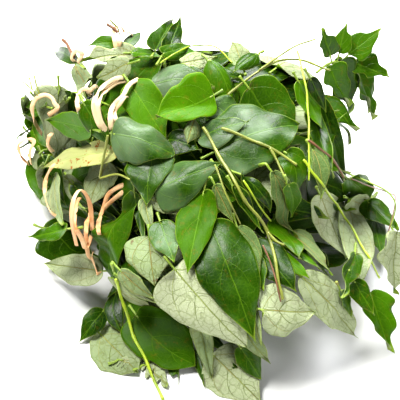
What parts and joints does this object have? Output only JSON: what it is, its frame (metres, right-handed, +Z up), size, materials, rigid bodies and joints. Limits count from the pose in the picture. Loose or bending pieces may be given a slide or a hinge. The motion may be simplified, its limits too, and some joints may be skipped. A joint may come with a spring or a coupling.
{
  "type": "uziza leaf bundle",
  "caption": "Lying market bundle of fresh uziza leaves: small strip-tied bunches stacked in a heap, with loose leaves and cut vine stems over them.",
  "frame": {"origin": "the middle of the bundle's footprint, on the surface that it lies on, on the flat underside of the lowest bunches", "axes": "+Z up; +X to the right, with the tied stalk ends of the small bunches at -X; -Y is the front, where the loose leaves slope down to the ground"},
  "size_m": [0.3975, 0.4006, 0.1999],
  "materials": {
    "glossy_leaf": "glossy deep green leaf, upper side out",
    "young_leaf": "glossy yellow-green young leaf, upper side out",
    "leaf_underside": "matt pale grey-green leaf, underside out, with raised veins",
    "stem": "smooth green to brown vine stem with swollen joints",
    "palm_strip": "dry tan palm strip, fibrous, slightly glossy"
  },
  "bodies": {
    "root": {"bunch_01_leaves": "glossy_leaf", "bunch_01_tie": "palm_strip", "bunch_02_leaves": "glossy_leaf", "bunch_02_tie": "palm_strip", "bunch_03_leaves": "glossy_leaf", "bunch_03_tie": "palm_strip", "bunch_04_leaves": "glossy_leaf", "bunch_04_tie": "palm_strip", "bunch_05_leaves": "glossy_leaf", "bunch_05_tie": "palm_strip", "bunch_06_leaves": "glossy_leaf", "bunch_06_tie": "palm_strip", "bunch_07_leaves": "glossy_leaf", "bunch_07_tie": "palm_strip", "bunch_08_leaves": "glossy_leaf", "bunch_08_tie": "palm_strip", "bunch_09_leaves": "glossy_leaf", "bunch_09_tie": "palm_strip", "bunch_10_leaves": "glossy_leaf", "bunch_10_tie": "palm_strip", "bunch_11_leaves": "glossy_leaf", "bunch_11_tie": "palm_strip", "bunch_12_leaves": "glossy_leaf", "bunch_12_tie": "palm_strip", "back_left_leaf": "glossy_leaf", "back_right_leaf": "leaf_underside", "back_low_leaf": "glossy_leaf", "back_top_leaf": "glossy_leaf", "low_pale_torn_leaf": "leaf_underside", "low_left_round_pale_leaf": "leaf_underside", "left_low_pale_leaf": "leaf_underside", "right_low_pale_leaf": "leaf_underside", "right_low_wide_pale_leaf": "leaf_underside", "right_upper_pale_leaf": "leaf_underside", "right_long_pale_leaf": "leaf_underside", "left_pale_veined_leaf": "leaf_underside", "left_bright_leaf": "young_leaf", "left_speckled_leaf": "young_leaf", "left_drooping_leaf": "glossy_leaf", "smudged_pale_leaf": "leaf_underside", "great_pale_leaf": "leaf_underside", "front_dark_leaf": "glossy_leaf", "front_bright_leaf": "young_leaf", "front_heart_leaf": "glossy_leaf", "back_sheen_leaf": "glossy_leaf", "upper_round_dark_leaf": "glossy_leaf", "right_broad_leaf": "glossy_leaf", "broad_gloss_leaf": "glossy_leaf", "long_tipped_leaf": "glossy_leaf", "upper_young_leaf": "young_leaf", "folded_young_leaf": "young_leaf", "folded_grey_leaf": "glossy_leaf", "main_vine_stem": "stem", "cut_vine_stem": "stem", "upper_vine_stem": "stem", "right_vine_stem": "stem", "front_vine_stem": "stem", "leafy_side_shoot": "glossy_leaf", "hanging_leaf_shoot": "leaf_underside", "right_low_dark_leaf": "glossy_leaf"}
  },
  "joints": []
}
